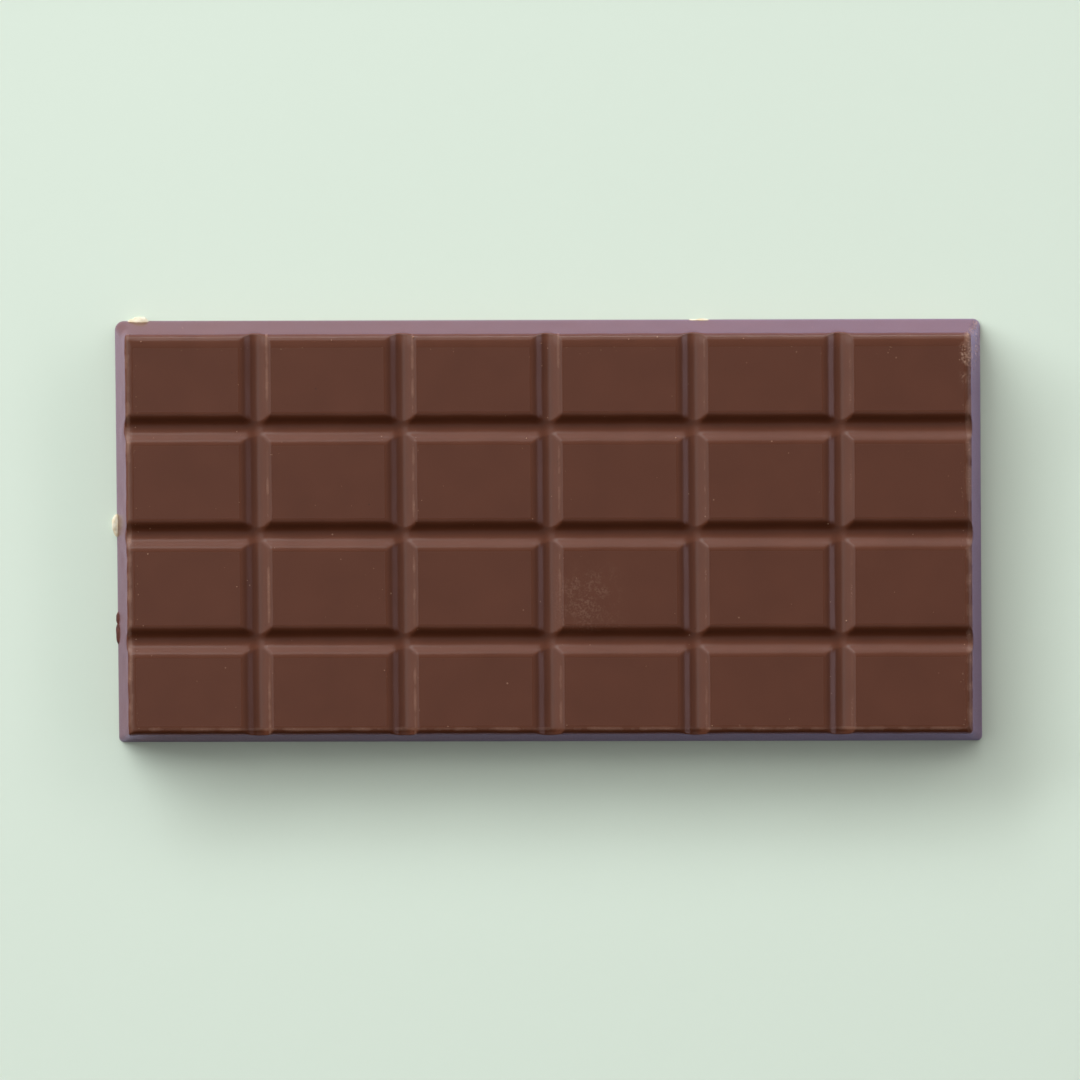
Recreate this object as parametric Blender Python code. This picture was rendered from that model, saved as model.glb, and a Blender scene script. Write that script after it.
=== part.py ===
"""A moulded milk chocolate tablet: six segments by four, with leaning outer walls, coved grooves
that run out through the walls, and pieces of nut and fruit caught in the rim of its flat back.

Metres, +Z up. The origin is the centre of the flat back, on the surface that the tablet lies on.
+X runs along the tablet's length and +Y across its width.
"""

import math

import bmesh
import bpy
from mathutils import Vector, noise

# The tablet
LENGTH = 0.1572
WIDTH = 0.0769
HEIGHT = 0.008
WALL_LEAN = 0.0024
TOP_EDGE_ROUND = 0.0008
TOP_EDGE_SEGMENTS = 4
# Radius of each upright corner at the back, by the side of X and of Y that it is on
CORNER_ROUND = {(-1, 1): 0.0017, (1, 1): 0.0013, (1, -1): 0.0009, (-1, -1): 0.0009}
CORNER_SEGMENTS = 5

# The segments and the grooves between them
COLUMNS = 6
ROWS = 4
COLUMN_PITCH = 0.02635
ROW_PITCH = 0.01926
COLUMN_OFFSET = -0.00011
ROW_OFFSET = -0.00023
GROOVE_HALF_WIDTH = 0.0030
GROOVE_SLOPE = math.radians(30.0)
LIP_ROUND = 0.0016
COVE_HALF_WIDTH = 0.0013
LIP_SEGMENTS = 3
COVE_SEGMENTS = 10
CUTTER_OVERRUN = 0.004
CUTTER_RISE = 0.002

# The pieces caught in the rim: name, material, centre, and full size along X, Y and Z
GAP = 0.0003
PIECE_ROUGHNESS = 0.16
PIECES = (
    ("nut_flake_far_corner", "pale_nut", (-0.0748, 0.0384, 0.0007), (0.0048, 0.0026, 0.0011)),
    ("nut_chip_far_side", "pale_nut", (0.0273, 0.0380, 0.0006), (0.0042, 0.0020, 0.0009)),
    ("nut_chip_left_side", "pale_nut", (-0.0785, 0.0016, 0.0007), (0.0024, 0.0042, 0.0011)),
    ("fruit_piece_left_side", "dried_fruit", (-0.0782, -0.0172, 0.0007), (0.0021, 0.0068, 0.0011)),
)

# Linear base colour and roughness of each material
FINISHES = {
    "milk_chocolate": ((0.107, 0.042, 0.027, 1.0), 0.38),
    "pale_nut": ((0.78, 0.68, 0.44, 1.0), 0.6),
    "dried_fruit": ((0.24, 0.07, 0.04, 1.0), 0.5),
}


def clear_scene():
    for old in list(bpy.data.objects):
        bpy.data.objects.remove(old)


def new_collection(name):
    collection = bpy.data.collections.new(name)
    bpy.context.scene.collection.children.link(collection)
    return collection


def material(name):
    """A plain Principled material, made once for each finish."""
    if name in bpy.data.materials:
        return bpy.data.materials[name]
    colour, roughness = FINISHES[name]
    finish = bpy.data.materials.new(name)
    finish.use_nodes = True
    shader = finish.node_tree.nodes["Principled BSDF"]
    shader.inputs["Base Color"].default_value = colour
    shader.inputs["Roughness"].default_value = roughness
    shader.inputs["Metallic"].default_value = 0.0
    return finish


def object_from_bmesh(name, shape, collection):
    mesh = bpy.data.meshes.new(name)
    shape.to_mesh(mesh)
    shape.free()
    made = bpy.data.objects.new(name, mesh)
    collection.objects.link(made)
    return made


def as_cutter(cutter):
    cutter.hide_render = True
    cutter.display_type = "WIRE"
    return cutter


def cut(body, cutter):
    boolean = body.modifiers.new(cutter.name, "BOOLEAN")
    boolean.operation = "DIFFERENCE"
    boolean.solver = "EXACT"
    boolean.object = cutter


def upright_edge(shape, side_x, side_y):
    """The vertical edge of the block that is on these sides of X and Y."""
    for edge in shape.edges:
        low, high = edge.verts
        middle = (low.co + high.co) / 2
        upright = abs(low.co.z - high.co.z) > HEIGHT / 2
        if upright and middle.x * side_x > 0 and middle.y * side_y > 0:
            return edge
    raise ValueError("the block has no such corner")


def tablet_block(collection):
    """The tablet before its grooves: a block with rounded corners, leaning walls and a soft top edge."""
    shape = bmesh.new()
    bmesh.ops.create_cube(shape, size=1.0)
    bmesh.ops.scale(shape, vec=(LENGTH, WIDTH, HEIGHT), verts=shape.verts)
    bmesh.ops.translate(shape, vec=(0, 0, HEIGHT / 2), verts=shape.verts)
    for (side_x, side_y), radius in CORNER_ROUND.items():
        bmesh.ops.bevel(
            shape,
            geom=[upright_edge(shape, side_x, side_y)],
            offset=radius,
            segments=CORNER_SEGMENTS,
            profile=0.5,
            affect="EDGES",
            material=-1,
        )
    top = [vertex for vertex in shape.verts if vertex.co.z > HEIGHT / 2]
    lean = (1 - 2 * WALL_LEAN / LENGTH, 1 - 2 * WALL_LEAN / WIDTH, 1)
    bmesh.ops.scale(shape, vec=lean, verts=top)
    rim = [edge for edge in shape.edges if all(end in top for end in edge.verts)]
    bmesh.ops.bevel(
        shape,
        geom=rim,
        offset=TOP_EDGE_ROUND,
        segments=TOP_EDGE_SEGMENTS,
        profile=0.5,
        affect="EDGES",
        material=-1,
    )
    bmesh.ops.recalc_face_normals(shape, faces=shape.faces)
    return object_from_bmesh("chocolate_tablet", shape, collection)


def groove_profile():
    """Half of a groove's section, from its middle to its lip, as distances from the middle and
    heights under the top face: a hollow cove, a straight slope, and a lip that rounds over."""
    cove_radius = COVE_HALF_WIDTH / math.sin(GROOVE_SLOPE)
    lip_run = LIP_ROUND * math.sin(GROOVE_SLOPE)
    lip_drop = LIP_ROUND * (1 - math.cos(GROOVE_SLOPE))
    slope_run = GROOVE_HALF_WIDTH - COVE_HALF_WIDTH - lip_run
    slope_drop = slope_run * math.tan(GROOVE_SLOPE)
    cove_drop = cove_radius * (1 - math.cos(GROOVE_SLOPE))
    depth = lip_drop + slope_drop + cove_drop
    points = []
    for step in range(COVE_SEGMENTS // 2 + 1):
        angle = GROOVE_SLOPE * step / (COVE_SEGMENTS // 2)
        points.append((cove_radius * math.sin(angle), cove_radius * (1 - math.cos(angle)) - depth))
    for step in range(LIP_SEGMENTS + 1):
        angle = GROOVE_SLOPE * (1 - step / LIP_SEGMENTS)
        run = LIP_ROUND * math.sin(angle)
        drop = LIP_ROUND * (1 - math.cos(angle))
        points.append((GROOVE_HALF_WIDTH - run, -drop))
    return points


def groove_cutter(name, run, collection):
    """A bar with the groove's section, lying along Y and as long as run, its lips at the top face."""
    half = groove_profile()
    wide = (GROOVE_HALF_WIDTH + math.hypot(LIP_ROUND, LIP_ROUND) / 2, CUTTER_RISE)
    right = half + [wide]
    left = [(-across, height) for across, height in right[:0:-1]]
    outline = left + right
    curve = bpy.data.curves.new(name, "CURVE")
    curve.dimensions = "2D"
    curve.fill_mode = "BOTH"
    curve.extrude = run / 2
    spline = curve.splines.new("POLY")
    spline.points.add(len(outline) - 1)
    for point, (across, height) in zip(spline.points, outline):
        point.co = (across, height, 0, 1)
    spline.use_cyclic_u = True
    drawn = bpy.data.objects.new(name, curve)
    collection.objects.link(drawn)
    bpy.context.view_layer.update()
    evaluated = drawn.evaluated_get(bpy.context.evaluated_depsgraph_get())
    mesh = bpy.data.meshes.new_from_object(evaluated)
    bpy.data.objects.remove(drawn)
    shape = bmesh.new()
    shape.from_mesh(mesh)
    bpy.data.meshes.remove(mesh)
    bmesh.ops.remove_doubles(shape, verts=shape.verts, dist=1e-6)
    bmesh.ops.recalc_face_normals(shape, faces=shape.faces)
    cutter = object_from_bmesh(name, shape, collection)
    cutter.rotation_euler.x = math.radians(90)
    return as_cutter(cutter)


def cut_grooves(tablet, cutters):
    """Grooves between the columns, then between the rows. Where two cross, the deeper one wins,
    which leaves a mitred hip at each of the four corners."""
    for number in range(1, COLUMNS):
        groove = groove_cutter(f"column_groove_{number}", WIDTH + 2 * CUTTER_OVERRUN, cutters)
        groove.location = ((number - COLUMNS / 2) * COLUMN_PITCH + COLUMN_OFFSET, 0, HEIGHT)
        cut(tablet, groove)
    for number in range(1, ROWS):
        groove = groove_cutter(f"row_groove_{number}", LENGTH + 2 * CUTTER_OVERRUN, cutters)
        groove.rotation_euler.z = math.radians(90)
        groove.location = (0, (number - ROWS / 2) * ROW_PITCH + ROW_OFFSET, HEIGHT)
        cut(tablet, groove)


def lump(size, centre, swell):
    """A chopped piece: a ball pressed to this size with an uneven skin, swollen outwards by swell."""
    shape = bmesh.new()
    bmesh.ops.create_icosphere(shape, subdivisions=2, radius=0.5)
    for vertex in shape.verts:
        bump = noise.noise(vertex.co * 3 + Vector(centre) * 1000)
        vertex.co *= 1 + PIECE_ROUGHNESS * bump - PIECE_ROUGHNESS / 2
    bmesh.ops.scale(shape, vec=size, verts=shape.verts)
    shape.normal_update()
    for vertex, normal in [(vertex, vertex.normal.copy()) for vertex in shape.verts]:
        vertex.co += normal * swell
    return shape


def set_piece(tablet, name, finish, centre, size, parts, cutters):
    """A piece in the rim, in a pocket that keeps the gap all round it."""
    piece = object_from_bmesh(name, lump(size, centre, 0.0), parts)
    piece.location = centre
    piece.data.materials.append(material(finish))
    pocket = as_cutter(object_from_bmesh(f"{name}_pocket", lump(size, centre, 1.3 * GAP), cutters))
    pocket.location = centre
    cut(tablet, pocket)


def main():
    clear_scene()
    parts = new_collection("chocolate_tablet")
    cutters = new_collection("cutters")
    tablet = tablet_block(parts)
    tablet.data.materials.append(material("milk_chocolate"))
    cut_grooves(tablet, cutters)
    for name, finish, centre, size in PIECES:
        set_piece(tablet, name, finish, centre, size, parts, cutters)


main()
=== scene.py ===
"""The looks of a moulded milk chocolate tablet: six segments by four, coved grooves, leaning walls,
and bits of nut and dried fruit in the rim of its back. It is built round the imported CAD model."""

import math
import random

import bmesh
import bpy
from mathutils import Matrix, Vector, noise


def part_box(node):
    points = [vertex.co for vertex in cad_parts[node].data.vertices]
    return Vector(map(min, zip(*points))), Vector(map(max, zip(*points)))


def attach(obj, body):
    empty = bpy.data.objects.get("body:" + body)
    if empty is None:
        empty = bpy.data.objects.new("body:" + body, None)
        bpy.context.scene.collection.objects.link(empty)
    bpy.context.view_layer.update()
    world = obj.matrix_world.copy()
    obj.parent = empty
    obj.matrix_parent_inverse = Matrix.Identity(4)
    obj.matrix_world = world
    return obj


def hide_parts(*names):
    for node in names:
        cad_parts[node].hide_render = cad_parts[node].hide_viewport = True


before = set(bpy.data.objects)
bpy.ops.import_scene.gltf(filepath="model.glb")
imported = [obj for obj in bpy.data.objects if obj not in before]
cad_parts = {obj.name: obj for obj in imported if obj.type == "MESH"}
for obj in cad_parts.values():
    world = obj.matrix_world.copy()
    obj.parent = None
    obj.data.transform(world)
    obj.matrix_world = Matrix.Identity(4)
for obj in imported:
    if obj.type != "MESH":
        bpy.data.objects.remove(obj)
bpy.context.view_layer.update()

MM = 0.001
LIGHT_DISTANCE = 3.2

# The tablet, with its outer size from the frame
TABLET_LOW, TABLET_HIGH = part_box("chocolate_tablet")
CRUMB_ROOM = 0.14 * MM
HEIGHT = TABLET_HIGH.z - TABLET_LOW.z - CRUMB_ROOM
EAST, WEST, NORTH, SOUTH = (1, 0), (-1, 0), (0, 1), (0, -1)
OUTER_EDGE = {
    EAST: TABLET_HIGH.x - 0.1 * MM,
    WEST: -TABLET_LOW.x - 0.06 * MM,
    NORTH: TABLET_HIGH.y - 0.05 * MM,
    SOUTH: -TABLET_LOW.y - 0.2 * MM,
}
# The tablet is very slightly out of square
SKEW = 0.0024
COLUMNS = 6
ROWS = 4
COLUMN_PITCH = 26.35 * MM
ROW_PITCH = 19.26 * MM
COLUMN_OFFSET = -0.11 * MM
ROW_OFFSET = -0.23 * MM

# A groove's section on either side of its middle: the half width of its round cove, the radius of its
# lip, and the slope of the straight flank between the two. The grooves between the columns are a
# little crooked, and the lips of the grooves between the rows are softer.
GROOVE_HALF = 3.0 * MM
WEST_OF_COLUMN = (0.9 * MM, 2.5 * MM, math.radians(30))
EAST_OF_COLUMN = (1.55 * MM, 1.2 * MM, math.radians(30))
SIDE_OF_ROW = (1.37 * MM, 2.3 * MM, math.radians(31))
COVE_STEPS = 7
COLUMN_FLANK_STEPS = 6
ROW_FLANK_STEPS = 4
LIP_STEPS = 6
LIP_CLEAR = 0.15 * MM
# The hips where two grooves cross are softer to the west of a column groove than to the east of it
WEST_HIP = 0.6 * MM
EAST_HIP = 0.34 * MM
CROSSING_DIP = 0.16
MOUTH_SHARPNESS = 5
SAG = 0.25 * MM

# The walls' lean, and the rim where the top face turns down into the wall, as arcs from the top face
# outwards: the length of each, and the slope in degrees that it ends at. One last arc of the given
# length turns into the wall.
WALL_LEAN = {EAST: 0.275, WEST: 0.31, NORTH: 0.352, SOUTH: 0.248}
RIM_ARCS = {
    EAST: ((0.35 * MM, 6), (0.3 * MM, 24), (0.45 * MM, 36), (0.2 * MM, 48)),
    WEST: ((0.75 * MM, 8), (0.45 * MM, 35), (0.2 * MM, 45)),
    NORTH: ((1.1 * MM, 8.5), (0.75 * MM, 34), (0.42 * MM, 48)),
    SOUTH: ((0.5 * MM, 4), (0.35 * MM, 22), (0.38 * MM, 36), (0.34 * MM, 44), (0.25 * MM, 58)),
}
LAST_ARC = {EAST: 0.3 * MM, WEST: 0.25 * MM, NORTH: 0.62 * MM, SOUTH: 0.3 * MM}
RIM_STEPS = 18
RIM_PARTS = 12
WALL_STEPS = 12
WALL_SPACING = 1.6
BACK_EDGE_ROUND = 0.25 * MM
BACK_EDGE_STEPS = 3
CORNER_ZONE = 1.8 * MM
CORNER_STEPS = 6
FLAT_STEP = 1.3 * MM
TOP_CORNER_RADIUS = {(-1, 1): 0.2 * MM, (1, 1): 0.9 * MM, (1, -1): 0.7 * MM, (-1, -1): 0.35 * MM}
BACK_CORNER_RADIUS = {(-1, 1): 1.7 * MM, (1, 1): 1.3 * MM, (1, -1): 0.9 * MM, (-1, -1): 0.9 * MM}

# Unevenness left by the mould and by cooling
WOBBLE = 0.06 * MM
WOBBLE_LENGTH = 4.5 * MM
WEST_WOBBLE = 0.12 * MM
BACK_HOLLOW = 0.12 * MM
BACK_HOLLOW_LENGTH = 11 * MM
BACK_HOLLOW_RISE = 3 * MM
BACK_INSET = 1.6 * MM
BACK_STEP = 1.5 * MM

# Bits caught in the rim of the back: the middle and full size of each lump in a bit
BITS = {
    "nut_flake_far_corner": (
        ((-74.0, 38.35, 0.5), (3.4, 2.0, 0.8)),
        ((-75.2, 38.15, 0.42), (2.6, 1.6, 0.7)),
    ),
    "nut_chip_far_side": (
        ((27.9, 37.8, 0.4), (3.3, 1.45, 0.6)),
        ((26.4, 37.75, 0.4), (2.4, 1.3, 0.55)),
    ),
    "nut_chip_left_side": (
        ((-78.5, 1.7, 0.5), (2.0, 3.7, 0.85)),
        ((-78.4, 0.3, 0.42), (1.6, 2.0, 0.7)),
    ),
    "fruit_piece_left_side": (
        ((-78.15, -15.4, 0.45), (1.35, 2.7, 0.8)),
        ((-78.1, -18.2, 0.45), (1.5, 4.6, 0.8)),
    ),
}
BIT_BUMP = 0.13
BIT_FACETS = 6
BIT_FACET_REACH = 0.87
BIT_FACET_FLATNESS = 0.8

# Loose crumbs that are clearly to be seen: home place on the top face, and width
CRUMBS = (
    (-24.1, 35.5, 0.30), (-38.9, 35.0, 0.22), (20.0, 35.4, 0.24), (-1.0, 34.3, 0.18),
    (35.5, 35.1, 0.2), (14.8, 35.0, 0.2), (-73.3, 34.8, 0.2), (75.4, 34.2, 0.24),
    (75.4, 33.0, 0.2), (23.2, 17.2, 0.24), (-3.8, 17.2, 0.22), (53.8, -16.0, 0.28),
    (50.6, 1.5, 0.2), (-29.8, -24.8, 0.2), (22.8, -14.6, 0.18), (5.0, -8.1, 0.16),
    (73.6, 3.7, 0.18), (-72.4, -3.6, 0.24), (-73.4, -16.6, 0.2), (29.4, -34.9, 0.2),
    (3.1, -34.8, 0.2), (-18.4, -35.0, 0.2), (-74.4, -35.2, 0.2), (75.1, -20.4, 0.2),
)
SMALL_CRUMBS = 150
SMALL_CRUMB_WIDTH = (0.06, 0.15)
CRUMB_SEED = 11

# Wear and painted highlight: a thin light line along the rims and along the lips that face west, by side and by groove.
# It is partly real wear and partly a painted highlight: the lips' line fades from the west grooves to the east ones,
# and the east rim's line stands in for a sheen.
RIDGE_INSIDE = {EAST: 0.5 * MM, WEST: 0.5 * MM, NORTH: 0.5 * MM, SOUTH: 1.15 * MM}
RIDGE_HALF = {EAST: 0.5 * MM, WEST: 0.36 * MM, NORTH: 0.28 * MM, SOUTH: 0.28 * MM}
RIM_WEAR_AND_HIGHLIGHT = {EAST: 1.4, WEST: 1.4, NORTH: 0.12, SOUTH: 0.9}
LIP_RIDGE = 2.15 * MM
LIP_RIDGE_HALF = 0.2 * MM
LIP_WEAR_AND_HIGHLIGHT = (1.0, 0.9, 0.6, 0.35, 0.25)
WORN_CORNER = Vector((75.6 * MM, 31.8 * MM, 0))
WORN_CORNER_SIZE = Vector((0.9 * MM, 4.5 * MM, 1))
CHIPPED_CORNER = Vector((75.6 * MM, 36.2 * MM, 0))
CHIPPED_CORNER_SIZE = Vector((0.8 * MM, 0.8 * MM, 1))
SCUFF = Vector((7.2 * MM, -12 * MM, 0))
SCUFF_STRENGTH = 0.16
SCUFF_SIZE = Vector((5.5 * MM, 5.5 * MM, 1))


def eased(share):
    share = min(max(share, 0.0), 1.0)
    return share * share * (3 - 2 * share)


def ridge(distance, half):
    return math.exp(-((distance / half) ** 2))


def lip_start(section):
    cove_half, lip_radius, slope = section
    return GROOVE_HALF - lip_radius * math.sin(slope)


def section_depth(across, section):
    """How far under the top face a groove lies at this distance from its middle."""
    cove_half, lip_radius, slope = section
    lip = lip_start(section)
    lip_drop = lip_radius * (1 - math.cos(slope))
    if across >= GROOVE_HALF:
        return 0.0
    if across >= lip:
        return lip_radius - math.sqrt(lip_radius**2 - (GROOVE_HALF - across) ** 2)
    if across >= cove_half:
        return lip_drop + (lip - across) * math.tan(slope)
    cove_radius = cove_half / math.sin(slope)
    at_flank = lip_drop + (lip - cove_half) * math.tan(slope)
    return at_flank + math.sqrt(cove_radius**2 - across**2) - cove_radius * math.cos(slope)


def groove_centres(pieces, pitch, offset):
    return [(number - pieces / 2) * pitch + offset for number in range(1, pieces)]


COLUMN_GROOVES = groove_centres(COLUMNS, COLUMN_PITCH, COLUMN_OFFSET)
ROW_GROOVES = groove_centres(ROWS, ROW_PITCH, ROW_OFFSET)


def round_minimum(first, second, radius):
    """The lesser of two lengths, with a round corner of this radius where they are nearly equal."""
    apart = first - second
    if abs(apart) >= radius:
        return min(first, second)
    return (first + second + math.sqrt(2 * radius**2 - apart**2)) / 2 - radius


def groove_depth(x, y):
    """Depth under the top face. Where two grooves cross, the deeper one wins, so each segment's
    corner comes down between them as a soft hip."""
    column = min(COLUMN_GROOVES, key=lambda centre: abs(x - centre))
    from_column = abs(x - column)
    from_row = min(abs(y - centre) for centre in ROW_GROOVES)
    in_column = section_depth(from_column, WEST_OF_COLUMN if x < column else EAST_OF_COLUMN)
    in_row = section_depth(from_row, SIDE_OF_ROW) * (1 + CROSSING_DIP * ridge(from_column, GROOVE_HALF))
    hip = EAST_HIP + (WEST_HIP - EAST_HIP) * eased(0.5 - (x - column) / GROOVE_HALF)
    soft = min(hip, max(in_column, in_row))
    return -round_minimum(-in_column, -in_row, soft)


def evenly(start, end, steps):
    return [start + (end - start) * step / steps for step in range(steps)]


def groove_offsets(section, flank_steps):
    """Distances from a groove's middle at which one side of its section is sampled."""
    cove_half = section[0]
    lip = lip_start(section)
    offsets = evenly(0.0, cove_half, COVE_STEPS)
    offsets += evenly(cove_half, lip, flank_steps)
    offsets += evenly(lip, GROOVE_HALF, LIP_STEPS)
    return offsets + [GROOVE_HALF, GROOVE_HALF + LIP_CLEAR]


def stations(low, high, centres, before, after):
    """Places along one side of the top face: close together over the grooves and at the corners,
    wider over the flats. The offsets before and after a groove's middle say where its section is
    sampled."""
    places = evenly(low, low + CORNER_ZONE, CORNER_STEPS)
    edge = low + CORNER_ZONE
    for centre in centres:
        steps = max(2, round((centre - before[-1] - edge) / FLAT_STEP))
        places += evenly(edge, centre - before[-1], steps)
        places += [centre - offset for offset in before[:0:-1]]
        places += [centre + offset for offset in after[:-1]]
        edge = centre + after[-1]
    steps = max(2, round((high - CORNER_ZONE - edge) / FLAT_STEP))
    places += evenly(edge, high - CORNER_ZONE, steps)
    places += evenly(high - CORNER_ZONE, high, CORNER_STEPS)
    return places + [high]


def arc_slope(arcs, along):
    """The slope in degrees at a distance along a run of arcs, each given by length and end slope."""
    start = 0.0
    for length, slope in arcs:
        if along <= length:
            return start + (slope - start) * along / length
        along -= length
        start = slope
    return start


def side_section(side):
    """Points from the edge of the top face down to the back on one side, as (outset, drop): the
    arcs of the rim, the wall, and the back's edge."""
    lean = WALL_LEAN[side]
    arcs = RIM_ARCS[side] + ((LAST_ARC[side], 90 - math.degrees(math.atan(lean))),)
    step_length = sum(length for length, slope in arcs) / RIM_STEPS
    points = []
    outset = drop = 0.0
    for step in range(RIM_STEPS):
        for part in range(RIM_PARTS):
            turn = math.radians(arc_slope(arcs, (step + (part + 0.5) / RIM_PARTS) * step_length))
            outset += step_length / RIM_PARTS * math.cos(turn)
            drop += step_length / RIM_PARTS * math.sin(turn)
        points.append((outset, drop))
    rest = HEIGHT - drop - BACK_EDGE_ROUND
    for step in range(1, WALL_STEPS + 1):
        share = (step / WALL_STEPS) ** WALL_SPACING
        points.append((outset + rest * share * lean, drop + rest * share))
    outset, drop = points[-1]
    for step in range(1, BACK_EDGE_STEPS + 1):
        turn = math.pi / 2 * step / BACK_EDGE_STEPS
        inward = BACK_EDGE_ROUND * (1 - math.cos(turn))
        points.append((outset + BACK_EDGE_ROUND * math.sin(turn) * lean - inward,
                       drop + BACK_EDGE_ROUND * math.sin(turn)))
    return points


SECTION = {side: side_section(side) for side in (EAST, WEST, NORTH, SOUTH)}
LEVELS = len(SECTION[EAST])


def top_edge(side):
    """How far from the middle the top face ends on one side."""
    return OUTER_EDGE[side] - max(outset for outset, drop in SECTION[side])


TOP_EDGE = {side: top_edge(side) for side in SECTION}


def outward_share(home, edge, centres):
    """0 as far as the last groove, rising to 1 where the corner begins."""
    last = max(abs(centres[0]), centres[-1]) + GROOVE_HALF
    return eased((abs(home) - last) / (edge - CORNER_ZONE - last))


def rounded(x, y, half_x, half_y, radius):
    """A point of a rectangle moved so that the rectangle's corners become round."""
    over_x = (abs(x) - half_x + radius) / radius
    over_y = (abs(y) - half_y + radius) / radius
    if over_x <= 0 or over_y <= 0:
        return x, y
    new_x = half_x - radius + radius * over_x * math.sqrt(1 - min(over_y, 1.0) ** 2 / 2)
    new_y = half_y - radius + radius * over_y * math.sqrt(1 - min(over_x, 1.0) ** 2 / 2)
    return math.copysign(new_x, x), math.copysign(new_y, y)


def placed(home_x, home_y, level):
    """Where a point goes that starts at its home on the flat top face and moves out and down to
    this level of the side's section; level -1 is the top face itself. The grooves run out
    through the wall, so they push its upper part down and out along its own lean."""
    side_x = EAST if home_x > 0 else WEST
    side_y = NORTH if home_y > 0 else SOUTH
    outset_x, drop_x = SECTION[side_x][level] if level >= 0 else (0.0, 0.0)
    outset_y, drop_y = SECTION[side_y][level] if level >= 0 else (0.0, 0.0)
    inset_x = TOP_EDGE[side_x] - abs(home_x)
    inset_y = TOP_EDGE[side_y] - abs(home_y)
    share_x = 1 - eased(0.5 + (inset_x - inset_y) / CORNER_ZONE / 2)
    drop = drop_y + (drop_x - drop_y) * share_x
    depth = groove_depth(home_x, home_y)
    sag = SAG * (1 - math.exp(-drop / SAG))
    fall = sag + ((drop - sag) ** MOUTH_SHARPNESS + depth**MOUTH_SHARPNESS) ** (1 / MOUTH_SHARPNESS)
    x = home_x + side_x[0] * outset_x * outward_share(home_x, TOP_EDGE[side_x], COLUMN_GROOVES)
    y = home_y + side_y[1] * outset_y * outward_share(home_y, TOP_EDGE[side_y], ROW_GROOVES)
    lower = min(drop / HEIGHT * 2, 1.0)
    corner = side_x[0], side_y[1]
    radius = BACK_CORNER_RADIUS[corner] * lower + TOP_CORNER_RADIUS[corner] * (1 - lower)
    x, y = rounded(x, y, TOP_EDGE[side_x] + outset_x, TOP_EDGE[side_y] + outset_y, radius)
    spot = Vector((x, y, 0)) / WOBBLE_LENGTH
    wobble = noise.noise_vector(spot) * WOBBLE
    near_west = eased(1 - (x + TOP_EDGE[WEST]) / CORNER_ZONE) * eased(1 - (drop / HEIGHT - 0.3) * 3)
    wobble.x += noise.noise(spot * 2.3) * WEST_WOBBLE * near_west
    wobble *= min(1.0, (HEIGHT - fall) / HEIGHT * 2)
    return Vector((x - SKEW * y + wobble.x, y - SKEW * x + wobble.y, max(HEIGHT - fall, 0.0)))


def wear_and_highlight_at(home_x, home_y, level):
    """How worn a point of the skin is, with a painted highlight in the same value: along the turn of each rim and along
    the lips of the column grooves that face west."""
    side_x = EAST if home_x > 0 else WEST
    side_y = NORTH if home_y > 0 else SOUTH
    worn_and_lit = 0.0
    for side, home in ((side_x, abs(home_x)), (side_y, abs(home_y))):
        outset = SECTION[side][level][0] if level >= 0 else 0.0
        turned = SECTION[side][RIM_STEPS - 1][0] - outset + TOP_EDGE[side] - home
        worn_and_lit = max(worn_and_lit, RIM_WEAR_AND_HIGHLIGHT[side] * ridge(turned - RIDGE_INSIDE[side], RIDGE_HALF[side]))
    from_row = min(abs(home_y - centre) for centre in ROW_GROOVES)
    for centre, strength in zip(COLUMN_GROOVES, LIP_WEAR_AND_HIGHLIGHT):
        on_lip = ridge(home_x - centre - LIP_RIDGE, LIP_RIDGE_HALF) * eased((from_row - LIP_RIDGE) / GROOVE_HALF)
        worn_and_lit = max(worn_and_lit, strength * on_lip)
    return worn_and_lit if level < RIM_STEPS else 0.0


def flatness(home_x, home_y):
    """1 on the flat of a segment, falling to 0 at its lips and at the edge of the top face."""
    from_groove = min(abs(home_x - centre) for centre in COLUMN_GROOVES) - GROOVE_HALF
    from_groove = min(from_groove, min(abs(home_y - centre) for centre in ROW_GROOVES) - GROOVE_HALF)
    inset_x = TOP_EDGE[EAST if home_x > 0 else WEST] - abs(home_x)
    inset_y = TOP_EDGE[NORTH if home_y > 0 else SOUTH] - abs(home_y)
    return eased(min(from_groove, inset_x, inset_y) / LIP_CLEAR)


def patch(home_x, home_y, centre, size):
    """1 in the middle of a round patch, falling off to 0 well outside it."""
    across = (home_x - centre.x) / size.x
    along = (home_y - centre.y) / size.y
    return math.exp(-(across**4) - along**4)


def station_grid(shape, places_x, places_y):
    """A flat grid with its lines at these places."""
    made = bmesh.ops.create_grid(
        shape, x_segments=len(places_x) - 1, y_segments=len(places_y) - 1, size=0.5
    )["verts"]
    for vertex in made:
        column = round((vertex.co.x + 0.5) * (len(places_x) - 1))
        row = round((vertex.co.y + 0.5) * (len(places_y) - 1))
        vertex.co = (places_x[column], places_y[row], 0)
    return made


def close_back(shape, edge_loop):
    """Closes the back, which is flat with very slight hollows, inside the last ring."""
    inset_x = (TABLET_HIGH.x - TABLET_LOW.x) / 2 - BACK_INSET
    inset_y = (TABLET_HIGH.y - TABLET_LOW.y) / 2 - BACK_INSET
    columns = round(2 * inset_x / BACK_STEP)
    rows = round(2 * inset_y / BACK_STEP)
    back = station_grid(shape, evenly(-inset_x, inset_x, columns) + [inset_x],
                        evenly(-inset_y, inset_y, rows) + [inset_y])
    inner_loop = list({edge for vertex in back for edge in vertex.link_edges if edge.is_boundary})
    for vertex in back:
        inside = min(inset_x - abs(vertex.co.x), inset_y - abs(vertex.co.y))
        hollow = noise.noise(vertex.co / BACK_HOLLOW_LENGTH) + 0.5
        vertex.co.z = BACK_HOLLOW * max(hollow, 0.0) * eased(inside / BACK_HOLLOW_RISE)
    bmesh.ops.bridge_loops(shape, edges=edge_loop + inner_loop)


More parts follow.
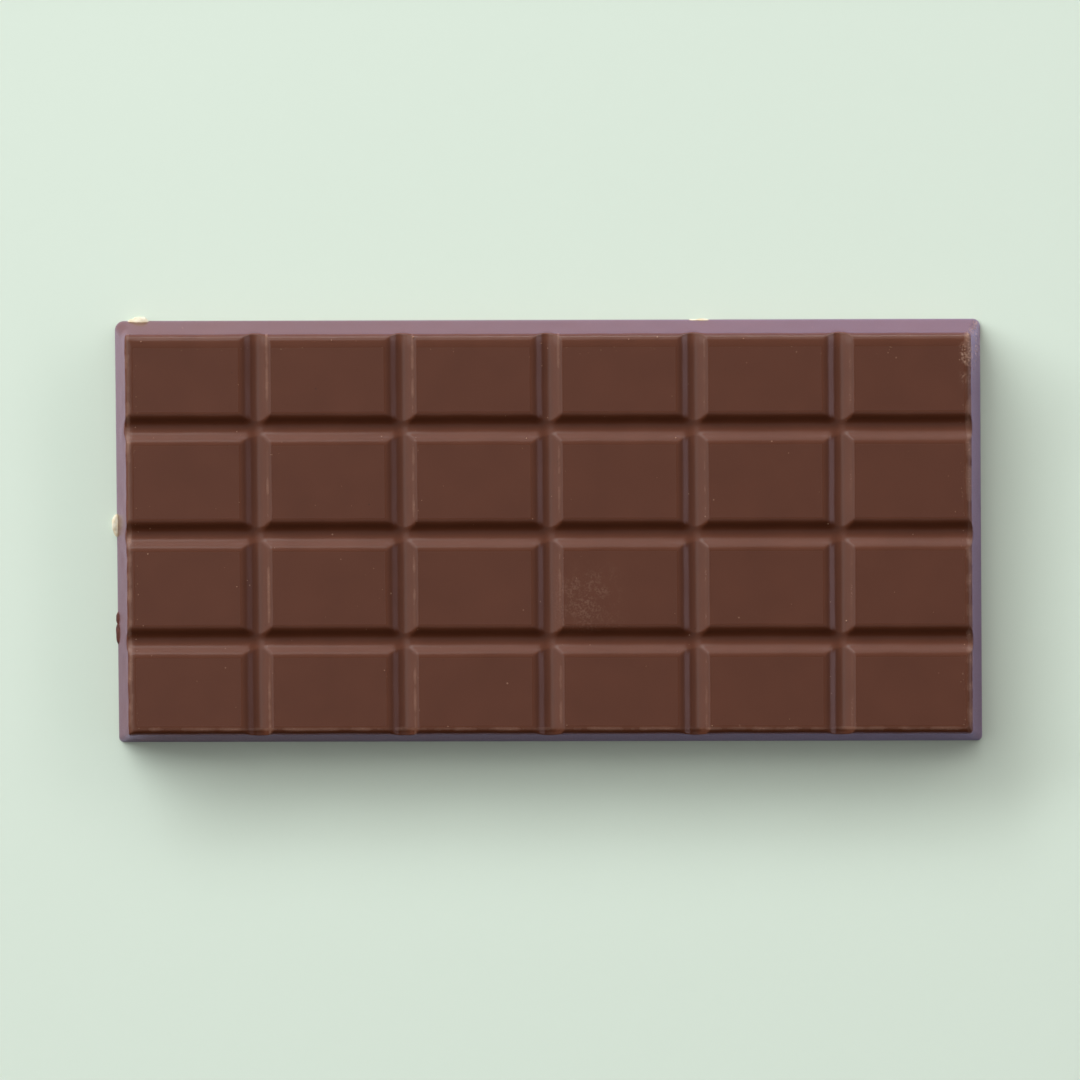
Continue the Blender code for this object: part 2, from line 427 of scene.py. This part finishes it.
def chocolate_tablet():
    shape = bmesh.new()
    home = shape.verts.layers.float_vector.new("home")
    wear_and_highlight = shape.verts.layers.float.new("wear_and_highlight")
    dusty = shape.verts.layers.float.new("dusty")
    flat = shape.verts.layers.float.new("flat")
    places_x = stations(-TOP_EDGE[WEST], TOP_EDGE[EAST], COLUMN_GROOVES,
                        groove_offsets(WEST_OF_COLUMN, COLUMN_FLANK_STEPS),
                        groove_offsets(EAST_OF_COLUMN, COLUMN_FLANK_STEPS))
    row_offsets = groove_offsets(SIDE_OF_ROW, ROW_FLANK_STEPS)
    places_y = stations(-TOP_EDGE[SOUTH], TOP_EDGE[NORTH], ROW_GROOVES, row_offsets, row_offsets)
    top = station_grid(shape, places_x, places_y)
    for vertex in top:
        vertex[home] = vertex.co
    edge_loop = [edge for edge in shape.edges if edge.is_boundary]
    rings = []
    for level in range(LEVELS):
        grown = bmesh.ops.extrude_edge_only(shape, edges=edge_loop)["geom"]
        ring = [item for item in grown if isinstance(item, bmesh.types.BMVert)]
        edge_loop = [item for item in grown if isinstance(item, bmesh.types.BMEdge) and item.is_boundary]
        rings.append(ring)
    for level, row in enumerate([top] + rings, start=-1):
        for vertex in row:
            x, y = vertex[home].x, vertex[home].y
            vertex.co = placed(x, y, level)
            vertex[wear_and_highlight] = wear_and_highlight_at(x, y, level)
            vertex[flat] = flatness(x, y) if level < 0 else 0.0
            scuffed = SCUFF_STRENGTH * patch(x, y, SCUFF, SCUFF_SIZE)
            chipped = patch(x, y, CHIPPED_CORNER, CHIPPED_CORNER_SIZE) if level > RIM_STEPS else 0.0
            vertex[dusty] = max(patch(x, y, WORN_CORNER, WORN_CORNER_SIZE), scuffed, chipped)
    close_back(shape, edge_loop)
    bmesh.ops.recalc_face_normals(shape, faces=shape.faces)
    return piece_from(shape, "chocolate_tablet_skin")


def lump(shape, centre, size, bump, subdivisions, seed):
    """Adds a chopped or broken lump: a ball with an uneven skin, pressed to this size."""
    made = bmesh.ops.create_icosphere(shape, subdivisions=subdivisions, radius=0.5)["verts"]
    shift = Vector((seed * 3.7, seed * 1.3, seed * 2.9))
    for vertex in made:
        uneven = noise.noise(vertex.co * 2.2 + shift) + 0.45 * noise.noise(vertex.co * 6 + shift)
        vertex.co *= 1 + bump * uneven
    bmesh.ops.scale(shape, vec=size, verts=made)
    bmesh.ops.translate(shape, vec=centre, verts=made)
    return made


def chopped_bit(name, lumps):
    """One bit of nut or fruit, made of lumps that run into each other, with cut facets."""
    shape = bmesh.new()
    for number, (centre, size) in enumerate(lumps):
        made = lump(shape, Vector(centre) * MM, Vector(size) * MM, BIT_BUMP, 4, number + len(name))
        chance = random.Random(number + len(name))
        for facet in range(BIT_FACETS):
            facing = Vector([chance.uniform(-1, 1) for axis in range(3)]).normalized()
            reach = max((vertex.co - Vector(centre) * MM).dot(facing) for vertex in made) * BIT_FACET_REACH
            for vertex in made:
                over = (vertex.co - Vector(centre) * MM).dot(facing) - reach
                if over > 0:
                    vertex.co -= facing * over * BIT_FACET_FLATNESS
    for vertex in shape.verts:
        vertex.co.z = max(vertex.co.z, 0.02 * MM)
    return piece_from(shape, f"{name}_bit")


def crumbs():
    """Crumbs that lie on the top face: the clear ones in their places, and many small ones, most
    of them along the rims and lips."""
    shape = bmesh.new()
    chance = random.Random(CRUMB_SEED)
    spots = [(x * MM, y * MM, width * MM) for x, y, width in CRUMBS]
    low, high = SMALL_CRUMB_WIDTH
    for number in range(SMALL_CRUMBS):
        width = chance.uniform(low, high) * MM
        along_x = chance.uniform(-TOP_EDGE[WEST], TOP_EDGE[EAST])
        along_y = chance.uniform(-TOP_EDGE[SOUTH], TOP_EDGE[NORTH])
        inset = abs(chance.gauss(0.15, 0.5)) * MM
        kind = number % 5
        if kind == 0:
            spots.append((inset - TOP_EDGE[WEST], along_y, width))
        elif kind == 1:
            spots.append((TOP_EDGE[EAST] - inset, along_y, width))
        elif kind == 2:
            spots.append((along_x, TOP_EDGE[NORTH] - inset, width))
        elif kind == 3:
            lip = chance.choice(COLUMN_GROOVES[:3]) + chance.choice((-1, 1)) * (GROOVE_HALF + inset - 0.4 * MM)
            spots.append((lip, along_y, width))
        else:
            spots.append((along_x, along_y, width))
    for number, (x, y, width) in enumerate(spots):
        ground = placed(x, y, -1)
        size = Vector((width * chance.uniform(0.8, 1.3), width * chance.uniform(0.7, 1.2), width * 0.7))
        lump(shape, ground + Vector((0, 0, width * 0.15)), size, 0.3, 1, number)
    return piece_from(shape, "loose_crumbs")


def piece_from(shape, name):
    """An object at the origin from a finished bmesh, shaded smooth."""
    for face in shape.faces:
        face.smooth = True
    mesh = bpy.data.meshes.new(name)
    shape.to_mesh(mesh)
    shape.free()
    piece = bpy.data.objects.new(name, mesh)
    bpy.context.scene.collection.objects.link(piece)
    return piece


def srgb(red, green, blue):
    """A linear colour from screen values of 0 to 255."""
    def linear(value):
        value /= 255
        return value / 12.92 if value <= 0.04045 else ((value + 0.055) / 1.055) ** 2.4
    return (linear(red), linear(green), linear(blue), 1.0)


def new_material(name):
    material = bpy.data.materials.new(name)
    material.use_nodes = True
    return material, material.node_tree.nodes["Principled BSDF"]


def new_group(name, inputs, outputs):
    """A node group with float or colour sockets, given as (name, kind, default)."""
    group = bpy.data.node_groups.new(name, "ShaderNodeTree")
    for label, kind, default in inputs:
        socket = group.interface.new_socket(label, in_out="INPUT", socket_type=kind)
        socket.default_value = default
    for label, kind in outputs:
        group.interface.new_socket(label, in_out="OUTPUT", socket_type=kind)
    return group, group.nodes.new("NodeGroupInput"), group.nodes.new("NodeGroupOutput")


def add(tree, kind, **settings):
    node = tree.nodes.new(kind)
    for key, value in settings.items():
        setattr(node, key, value)
    return node


def math_node(tree, operation, first, second):
    """A math node on two values, each a socket or a number."""
    node = add(tree, "ShaderNodeMath", operation=operation)
    for number, value in enumerate((first, second)):
        if isinstance(value, (int, float)):
            node.inputs[number].default_value = value
        else:
            tree.links.new(value, node.inputs[number])
    return node.outputs[0]


def stepped(tree, value, low, high):
    """0 under low, 1 over high, and smooth between them."""
    node = add(tree, "ShaderNodeMapRange", interpolation_type="SMOOTHSTEP")
    tree.links.new(value, node.inputs["Value"])
    node.inputs["From Min"].default_value = low
    node.inputs["From Max"].default_value = high
    return node.outputs["Result"]


def noise_node(tree, size, detail=2.0, stretch=(1, 1, 1)):
    """Noise in object space with lumps of about this size in metres."""
    place = add(tree, "ShaderNodeTexCoord").outputs["Object"]
    mapping = add(tree, "ShaderNodeMapping")
    mapping.inputs["Scale"].default_value = stretch
    tree.links.new(place, mapping.inputs["Vector"])
    node = add(tree, "ShaderNodeTexNoise")
    tree.links.new(mapping.outputs["Vector"], node.inputs["Vector"])
    node.inputs["Scale"].default_value = 1 / size
    node.inputs["Detail"].default_value = detail
    return node.outputs["Fac"]


def mixed(tree, share, first, second):
    """Two colours mixed by a share, each a socket or a colour."""
    node = add(tree, "ShaderNodeMix", data_type="RGBA")
    tree.links.new(share, node.inputs["Factor"])
    for label, value in (("A", first), ("B", second)):
        socket = next(item for item in node.inputs if item.name == label and item.type == "RGBA")
        if isinstance(value, tuple):
            socket.default_value = value
        else:
            tree.links.new(value, socket)
    return next(item for item in node.outputs if item.type == "RGBA")


def uneven_skin():
    """The set surface of a fat-rich food: a fine grain and slow waves, as a height and a cloud."""
    inputs = [("Grain Size", "NodeSocketFloat", 0.32 * MM), ("Grain", "NodeSocketFloat", 1.0),
              ("Waves", "NodeSocketFloat", 1.0)]
    outputs = [("Height", "NodeSocketFloat"), ("Cloud", "NodeSocketFloat")]
    group, given, result = new_group("uneven_skin", inputs, outputs)
    fine = add(group, "ShaderNodeTexNoise")
    place = add(group, "ShaderNodeTexCoord").outputs["Object"]
    group.links.new(place, fine.inputs["Vector"])
    group.links.new(math_node(group, "DIVIDE", 1.0, given.outputs["Grain Size"]), fine.inputs["Scale"])
    fine.inputs["Detail"].default_value = 1.0
    waves = noise_node(group, 4 * MM, 1.0)
    grain_height = math_node(group, "MULTIPLY", fine.outputs["Fac"], given.outputs["Grain"])
    wave_height = math_node(group, "MULTIPLY", waves, given.outputs["Waves"])
    group.links.new(math_node(group, "ADD", grain_height, wave_height), result.inputs["Height"])
    group.links.new(noise_node(group, 7 * MM, 3.0), result.inputs["Cloud"])
    return group


def fine_specks():
    """Sparse round specks, from pinholes and loose crumbs: 1 on a speck. Few leaves about one cell
    in ten of the pattern filled."""
    inputs = [("Spacing", "NodeSocketFloat", 1.2 * MM), ("Radius", "NodeSocketFloat", 0.07),
              ("Few", "NodeSocketFloat", 0.9)]
    group, given, result = new_group("fine_specks", inputs, [("Mask", "NodeSocketFloat")])
    cells = add(group, "ShaderNodeTexVoronoi")
    place = add(group, "ShaderNodeTexCoord").outputs["Object"]
    group.links.new(place, cells.inputs["Vector"])
    group.links.new(math_node(group, "DIVIDE", 1.0, given.outputs["Spacing"]), cells.inputs["Scale"])
    split = add(group, "ShaderNodeSeparateColor")
    group.links.new(cells.outputs["Color"], split.inputs["Color"])
    chosen = math_node(group, "GREATER_THAN", split.outputs["Red"], given.outputs["Few"])
    radius = math_node(group, "MULTIPLY", given.outputs["Radius"], math_node(group, "ADD", split.outputs["Green"], 0.5))
    inside = math_node(group, "LESS_THAN", cells.outputs["Distance"], radius)
    group.links.new(math_node(group, "MULTIPLY", chosen, inside), result.inputs["Mask"])
    return group


def worn_and_lit_line():
    """Breaks a smooth value of wear and painted highlight up into a thin haze with dots and short dashes in it."""
    inputs = [("Wear And Highlight", "NodeSocketFloat", 0.0), ("Haze", "NodeSocketFloat", 0.35)]
    group, given, result = new_group("worn_and_lit_line", inputs, [("Mask", "NodeSocketFloat")])
    dots = stepped(group, noise_node(group, 0.3 * MM, 1.0), 0.52, 0.68)
    runs = stepped(group, noise_node(group, 3.5 * MM, 2.0), 0.40, 0.62)
    marks = math_node(group, "MULTIPLY", dots, runs)
    haze = math_node(group, "MULTIPLY", given.outputs["Haze"], math_node(group, "ADD", runs, 0.35))
    both = math_node(group, "MAXIMUM", marks, haze)
    group.links.new(math_node(group, "MULTIPLY", both, given.outputs["Wear And Highlight"]), result.inputs["Mask"])
    return group


def use(tree, group, **values):
    node = add(tree, "ShaderNodeGroup", node_tree=group)
    for key, value in values.items():
        node.inputs[key.replace("_", " ").title()].default_value = value
    return node


def attribute(tree, name):
    return add(tree, "ShaderNodeAttribute", attribute_name=name).outputs["Fac"]


FLAT_ROUGHENING = 0.16


def milk_chocolate(skin, specks, lines):
    material, shader = new_material("milk_chocolate")
    tree = material.node_tree
    relief = use(tree, skin, grain=1.0, waves=2.5)
    worn_and_lit = use(tree, lines)
    tree.links.new(attribute(tree, "wear_and_highlight"), worn_and_lit.inputs["Wear And Highlight"])
    dust_grain = stepped(tree, noise_node(tree, 0.35 * MM, 2.0), 0.42, 0.66)
    dust_cloud = stepped(tree, noise_node(tree, 2.2 * MM, 2.0), 0.34, 0.62)
    dust = math_node(tree, "MULTIPLY", math_node(tree, "MULTIPLY", dust_grain, dust_cloud), attribute(tree, "dusty"))
    light_specks = use(tree, specks, spacing=1.5 * MM, radius=0.075, few=0.93).outputs["Mask"]
    dark_specks = use(tree, specks, spacing=1.9 * MM, radius=0.06, few=0.95).outputs["Mask"]
    colour = mixed(tree, relief.outputs["Cloud"], srgb(78, 41, 25), srgb(88, 48, 31))
    # Wear and painted highlight: a light line along the rims and along the lips that face west
    colour = mixed(tree, math_node(tree, "MULTIPLY", worn_and_lit.outputs["Mask"], 0.55), colour, srgb(158, 122, 102))
    colour = mixed(tree, math_node(tree, "MULTIPLY", dust, 0.9), colour, srgb(165, 134, 114))
    colour = mixed(tree, math_node(tree, "MULTIPLY", light_specks, 0.35), colour, srgb(176, 140, 116))
    colour = mixed(tree, math_node(tree, "MULTIPLY", dark_specks, 0.6), colour, srgb(52, 25, 16))
    tree.links.new(colour, shader.inputs["Base Color"])
    rough = math_node(tree, "ADD", 0.235, math_node(tree, "MULTIPLY", relief.outputs["Cloud"], 0.03))
    rough = math_node(tree, "ADD", rough, math_node(tree, "MULTIPLY", worn_and_lit.outputs["Mask"], 0.2))
    rough = math_node(tree, "ADD", rough, math_node(tree, "MULTIPLY", attribute(tree, "flat"), FLAT_ROUGHENING))
    tree.links.new(rough, shader.inputs["Roughness"])
    shader.inputs["IOR"].default_value = 1.47
    bump = add(tree, "ShaderNodeBump")
    bump.inputs["Distance"].default_value = 0.003 * MM
    tree.links.new(relief.outputs["Height"], bump.inputs["Height"])
    tree.links.new(bump.outputs["Normal"], shader.inputs["Normal"])
    return material


def topping(name, light, dark, fleck, roughness, skin):
    """A matt bit of nut or fruit, blotched from light to dark, with fine flecks of its skin."""
    material, shader = new_material(name)
    tree = material.node_tree
    relief = use(tree, skin, grain=1.0, waves=1.0)
    blotch = stepped(tree, noise_node(tree, 0.9 * MM, 3.0), 0.35, 0.68)
    flecks = stepped(tree, noise_node(tree, 0.22 * MM, 2.0), 0.60, 0.72)
    colour = mixed(tree, blotch, light, dark)
    colour = mixed(tree, math_node(tree, "MULTIPLY", flecks, 0.5), colour, fleck)
    tree.links.new(colour, shader.inputs["Base Color"])
    tree.links.new(math_node(tree, "ADD", roughness, math_node(tree, "MULTIPLY", blotch, 0.12)),
                   shader.inputs["Roughness"])
    bump = add(tree, "ShaderNodeBump")
    bump.inputs["Distance"].default_value = 0.03 * MM
    tree.links.new(relief.outputs["Height"], bump.inputs["Height"])
    tree.links.new(bump.outputs["Normal"], shader.inputs["Normal"])
    return material


# Painted reflection: a lilac floor colour that only glossy rays see, so that the tablet's smooth walls mirror it, bluer
# east of the tablet
PAINTED_REFLECTION_WEST = (0.93, 0.87, 1.09, 1.0)
PAINTED_REFLECTION_EAST = (1.01, 1.0, 1.48, 1.0)
# Painted shade: how much darker the reflected floor colour is south of the tablet
SOUTH_PAINTED_SHADE = 0.28


def floor():
    shape = bmesh.new()
    bmesh.ops.create_grid(shape, x_segments=1, y_segments=1, size=3.0)
    bmesh.ops.translate(shape, vec=(0, 0, -0.05 * MM), verts=shape.verts)
    piece = piece_from(shape, "floor")
    material, shader = new_material("pale_floor")
    tree = material.node_tree
    shader.inputs["Base Color"].default_value = srgb(210, 223, 207)
    shader.inputs["Roughness"].default_value = 0.9
    shader.inputs["Specular IOR Level"].default_value = 0.0
    place = add(tree, "ShaderNodeSeparateXYZ")
    tree.links.new(add(tree, "ShaderNodeTexCoord").outputs["Object"], place.inputs["Vector"])
    eastward = stepped(tree, place.outputs["X"], TABLET_LOW.x, TABLET_HIGH.x)
    northward = stepped(tree, place.outputs["Y"], TABLET_LOW.y, TABLET_HIGH.y)
    painted_reflection = mixed(tree, eastward, PAINTED_REFLECTION_WEST, PAINTED_REFLECTION_EAST)
    # Painted shade: the reflected floor colour darkens south of the tablet, standing in for the floor's shadow as the
    # south wall mirrors it
    painted_south_shade = math_node(tree, "MULTIPLY", math_node(tree, "SUBTRACT", 1.0, northward), SOUTH_PAINTED_SHADE)
    painted_reflection = mixed(tree, painted_south_shade, painted_reflection, (0.0, 0.0, 0.0, 1.0))
    # Glossy rays see the painted reflection colour, not the floor's own colour
    mirrored = tree.nodes.new("ShaderNodeBsdfDiffuse")
    tree.links.new(painted_reflection, mirrored.inputs["Color"])
    rays = tree.nodes.new("ShaderNodeLightPath")
    mix = tree.nodes.new("ShaderNodeMixShader")
    tree.links.new(rays.outputs["Is Glossy Ray"], mix.inputs["Fac"])
    tree.links.new(shader.outputs["BSDF"], mix.inputs[1])
    tree.links.new(mirrored.outputs["BSDF"], mix.inputs[2])
    tree.links.new(mix.outputs["Shader"], tree.nodes["Material Output"].inputs["Surface"])
    piece.data.materials.append(material)


def lamp(name, azimuth, elevation, width, height, glow, colour):
    """A soft box that faces the tablet. Azimuth 0 is at +Y and grows towards +X. Width and
    height are the angles that it spans, in degrees, and glow is how bright its face is."""
    data = bpy.data.lights.new(name, "AREA")
    data.shape = "RECTANGLE"
    data.size = 2 * LIGHT_DISTANCE * math.tan(math.radians(width / 2))
    data.size_y = 2 * LIGHT_DISTANCE * math.tan(math.radians(height / 2))
    data.energy = math.pi * data.size * data.size_y * glow
    data.color = colour
    turn, rise = math.radians(azimuth), math.radians(elevation)
    back = Vector((math.sin(turn) * math.cos(rise), math.cos(turn) * math.cos(rise), math.sin(rise)))
    across = Vector((math.cos(turn), -math.sin(turn), 0))
    made = bpy.data.objects.new(name, data)
    facing = Matrix((across, back.cross(across), back)).transposed().to_4x4()
    made.matrix_world = Matrix.Translation(back * LIGHT_DISTANCE) @ facing
    made.visible_camera = False
    bpy.context.scene.collection.objects.link(made)
    return made


def soft_light(name, azimuth, elevation, width, height, glow, colour=(1, 1, 1), sheen=None):
    """A soft box. Where sheen is given, glossy surfaces mirror it only that brightly."""
    made = lamp(name, azimuth, elevation, width, height, glow, colour)
    if sheen is not None:
        made.visible_glossy = False
        mirrored = lamp(f"{name}_sheen", azimuth, elevation, width, height, sheen, colour)
        mirrored.visible_diffuse = False


KEY_COLOUR = (0.97, 1.0, 1.06)


def lights():
    """The key's sheen is held back, so that the flat tops don't glare from low down opposite it."""
    soft_light("key", -45, 17.8, 60, 9, 24.5, KEY_COLOUR, sheen=3)
    soft_light("key_upper", -30, 25.5, 30, 9, 5.6)
    soft_light("low_north", 0, 17.8, 30, 9, 6.5, KEY_COLOUR)
    soft_light("low_north_east", 45, 17.8, 60, 9, 5.1)
    soft_light("north_window", -30, 50, 30, 16, 2.4)
    soft_light("north_fill", -15, 44, 120, 28, 1.0)
    soft_light("overhead", 0, 90, 64, 64, 0.30)
    soft_light("west_window", -84, 48.5, 30, 55, 0.98)
    soft_light("south_west_fill", -120, 31.5, 30, 21, 0.15)
    soft_light("low_east", 80, 25.5, 74, 9, 2.5, (1.1, 0.92, 1.06))
    soft_light("high_east", 80, 46, 50, 24, 0.22)
    soft_light("low_south_east", 120, 16.5, 90, 9, 0.2)
    world = bpy.data.worlds.new("room")
    world.use_nodes = True
    background = world.node_tree.nodes["Background"]
    background.inputs["Color"].default_value = (1.0, 1.0, 1.0, 1.0)
    background.inputs["Strength"].default_value = 0.0
    bpy.context.scene.world = world


def camera():
    data = bpy.data.cameras.new("camera")
    data.sensor_width = 36
    data.lens = 253
    seen_from = bpy.data.objects.new("camera", data)
    seen_from.location = (18.6 * MM, 65 * MM, 1378 * MM)
    back = (seen_from.location - Vector((-1.6 * MM, -1.6 * MM, 0))).normalized()
    across = (Vector((1, 0, 0)) - back * back.x).normalized()
    level = Matrix((across, back.cross(across), back)).transposed().to_4x4()
    roll = Matrix.Rotation(math.radians(-0.27), 4, "Z")
    seen_from.matrix_world = Matrix.Translation(seen_from.location) @ level @ roll
    bpy.context.scene.collection.objects.link(seen_from)
    bpy.context.scene.camera = seen_from


tablet = chocolate_tablet()
skin, specks, lines = uneven_skin(), fine_specks(), worn_and_lit_line()
tablet.data.materials.append(milk_chocolate(skin, specks, lines))
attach(tablet, "root")
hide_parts("chocolate_tablet")

nut = topping("pale_nut", srgb(214, 206, 184), srgb(200, 186, 154), srgb(168, 138, 98), 0.5, skin)
fruit = topping("dried_fruit", srgb(84, 40, 27), srgb(56, 26, 19), srgb(112, 62, 44), 0.4, skin)
for name, lumps in BITS.items():
    bit = chopped_bit(name, lumps)
    is_nut = name.startswith("nut")
    bit.data.materials.append(nut if is_nut else fruit)
    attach(bit, "root")
    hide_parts(name)

crumb = topping("crumb", srgb(188, 150, 122), srgb(150, 108, 84), srgb(110, 70, 50), 0.6, skin)
loose = crumbs()
loose.data.materials.append(crumb)
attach(loose, "root")

floor()
lights()
camera()
bpy.context.scene.view_settings.view_transform = "Standard"
